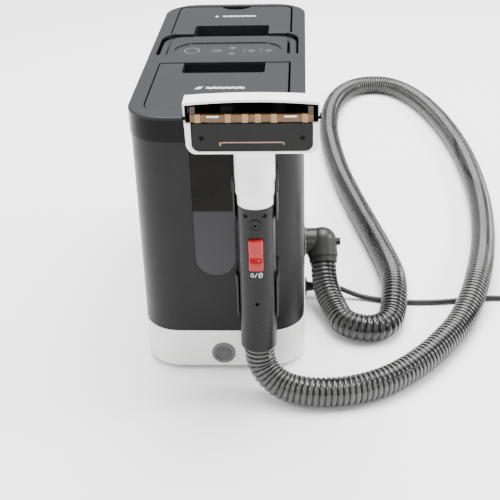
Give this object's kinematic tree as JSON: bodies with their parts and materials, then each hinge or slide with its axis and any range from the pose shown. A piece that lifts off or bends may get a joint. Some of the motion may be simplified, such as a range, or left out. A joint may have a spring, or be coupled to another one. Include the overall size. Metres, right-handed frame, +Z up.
{
  "type": "portable carpet cleaner",
  "caption": "Twin-tank carpet cleaner with a hinged carry handle, a corrugated suction hose, a docked spray wand with a wide nozzle and a mains cord.",
  "frame": {"origin": "on the floor, in the middle of the footprint of the machine with its wand docked and without the hose and cord", "axes": "+Z up, +Y from the front face with the window to the back, +X to the side that the hose leaves"},
  "size_m": [0.613, 1.0817, 0.385],
  "materials": {
    "base_white": "satin",
    "foot_rubber": "matte",
    "steel": "brushed",
    "housing_grey": "fine texture, satin",
    "window_smoke": "polished",
    "cover_grey": "fine texture",
    "panel_gloss": "satin film",
    "circuit_green": "matte",
    "inner_grey": "matte",
    "handle_black": "satin",
    "tank_smoke": "polished",
    "lid_grey": "fine texture",
    "seal_rubber": "matte",
    "float_white": "matte",
    "fan_aluminium": "matte",
    "motor_steel": "zinc plated",
    "button_grey": "satin",
    "button_dark": "satin",
    "cradle_black": "matte",
    "wand_grey": "satin",
    "trigger_red": "satin",
    "nozzle_white": "satin",
    "plate_black": "grained",
    "amber_clear": "translucent",
    "elbow_grey": "satin",
    "cord_black": "satin",
    "hose_grey": "translucent, glossy",
    "tie_black": "matte",
    "brass_blade": "polished"
  },
  "bodies": {
    "base": {"base_pan": "base_white", "rubber_feet": "foot_rubber", "base_screws": "steel", "housing": "housing_grey", "window": "window_smoke", "top_cover": "cover_grey", "touch_panel": "panel_gloss", "control_board": "circuit_green", "inner_frame": "inner_grey", "handle_pins": "steel", "waste_inlet_pipe": "inner_grey", "fan_housing": "inner_grey", "motor_case": "motor_steel", "motor_bearings": "steel", "motor_stator": "motor_steel", "water_pump": "inner_grey", "button_bezel": "button_grey", "button_spring": "steel", "button_switch": "inner_grey", "upper_cradle": "cradle_black", "lower_cradle": "cradle_black", "cradle_screws": "steel", "hose_port": "elbow_grey", "hose_elbow": "elbow_grey", "hose_collar": "elbow_grey", "cord_gland": "cord_black", "hose": "hose_grey", "power_cord": "cord_black", "power_cord_tail": "cord_black", "cord_coil": "cord_black", "cord_tie": "tie_black", "mains_plug": "cord_black", "plug_blades": "brass_blade"},
    "handle": {"carry_handle": "handle_black"},
    "waste_tank_body": {"waste_tank": "tank_smoke"},
    "waste_lid_body": {"waste_lid": "lid_grey", "waste_lid_seal": "seal_rubber", "float_cage": "inner_grey"},
    "float": {"float_ball": "float_white"},
    "clean_tank_body": {"clean_tank": "tank_smoke", "clean_tank_valve": "inner_grey"},
    "clean_lid_body": {"clean_lid": "lid_grey", "clean_lid_seal": "seal_rubber"},
    "rotor": {"motor_rotor": "motor_steel", "impeller": "fan_aluminium"},
    "push_button": {"base_button": "button_dark"},
    "wand": {"wand_front_shell": "wand_grey", "wand_back_shell": "wand_grey", "wand_suction_pipe": "inner_grey", "wand_screws": "steel", "trigger_pin": "steel", "trigger_valve": "inner_grey"},
    "trigger_lever": {"trigger": "trigger_red"},
    "release_button": {"nozzle_button": "wand_grey"},
    "nozzle": {"nozzle_hood": "nozzle_white", "nozzle_plate": "plate_black", "nozzle_screws": "steel", "nozzle_spreader": "amber_clear", "mouth_liner": "plate_black"},
    "elbow_latch": {"elbow_tab": "elbow_grey"}
  },
  "joints": [
    {"name": "handle_swing", "type": "hinge", "parent": "base", "child": "handle", "pos_m": [-0.024, 0.04, 0.323], "axis": [1, 0, 0], "range_deg": [0, 90]},
    {"name": "waste_tank_lift", "type": "slide", "parent": "base", "child": "waste_tank_body", "axis": [0, 0, 1], "range_m": [0, 0.28]},
    {"name": "waste_lid_pull", "type": "slide", "parent": "waste_tank_body", "child": "waste_lid_body", "axis": [0, 0, 1], "range_m": [0, 0.11]},
    {"name": "float_rise", "type": "slide", "parent": "waste_lid_body", "child": "float", "axis": [0, 0, 1], "range_m": [0, 0.04]},
    {"name": "clean_tank_lift", "type": "slide", "parent": "base", "child": "clean_tank_body", "axis": [0, 0, 1], "range_m": [0, 0.28]},
    {"name": "clean_lid_pull", "type": "slide", "parent": "clean_tank_body", "child": "clean_lid_body", "axis": [0, 0, 1], "range_m": [0, 0.04]},
    {"name": "motor_spin", "type": "hinge", "parent": "base", "child": "rotor", "pos_m": [-0.042, 0.059, 0.1], "axis": [0, 0, 1], "continuous": true},
    {"name": "base_button_press", "type": "slide", "parent": "base", "child": "push_button", "axis": [0, 1, 0], "range_m": [0, 0.003], "stiffness_N_per_m": 700, "deforming": ["button_spring"]},
    {"name": "wand_lift", "type": "slide", "parent": "base", "child": "wand", "axis": [0, 0, 1], "range_m": [0, 0.06]},
    {"name": "trigger_squeeze", "type": "hinge", "parent": "wand", "child": "trigger_lever", "pos_m": [0.0215, -0.2425, 0.2135], "axis": [1, 0, 0], "range_deg": [0, 6], "stiffness_Nm_per_rad": 0.8},
    {"name": "release_button_press", "type": "slide", "parent": "wand", "child": "release_button", "axis": [0, 1, 0], "range_m": [0, 0.0016], "stiffness_N_per_m": 500},
    {"name": "nozzle_pull", "type": "slide", "parent": "wand", "child": "nozzle", "axis": [0, 0, 1], "range_m": [0, 0.045]},
    {"name": "elbow_latch_press", "type": "slide", "parent": "base", "child": "elbow_latch", "axis": [-1, 0, 0], "range_m": [0, 0.0018], "stiffness_N_per_m": 500}
  ]
}
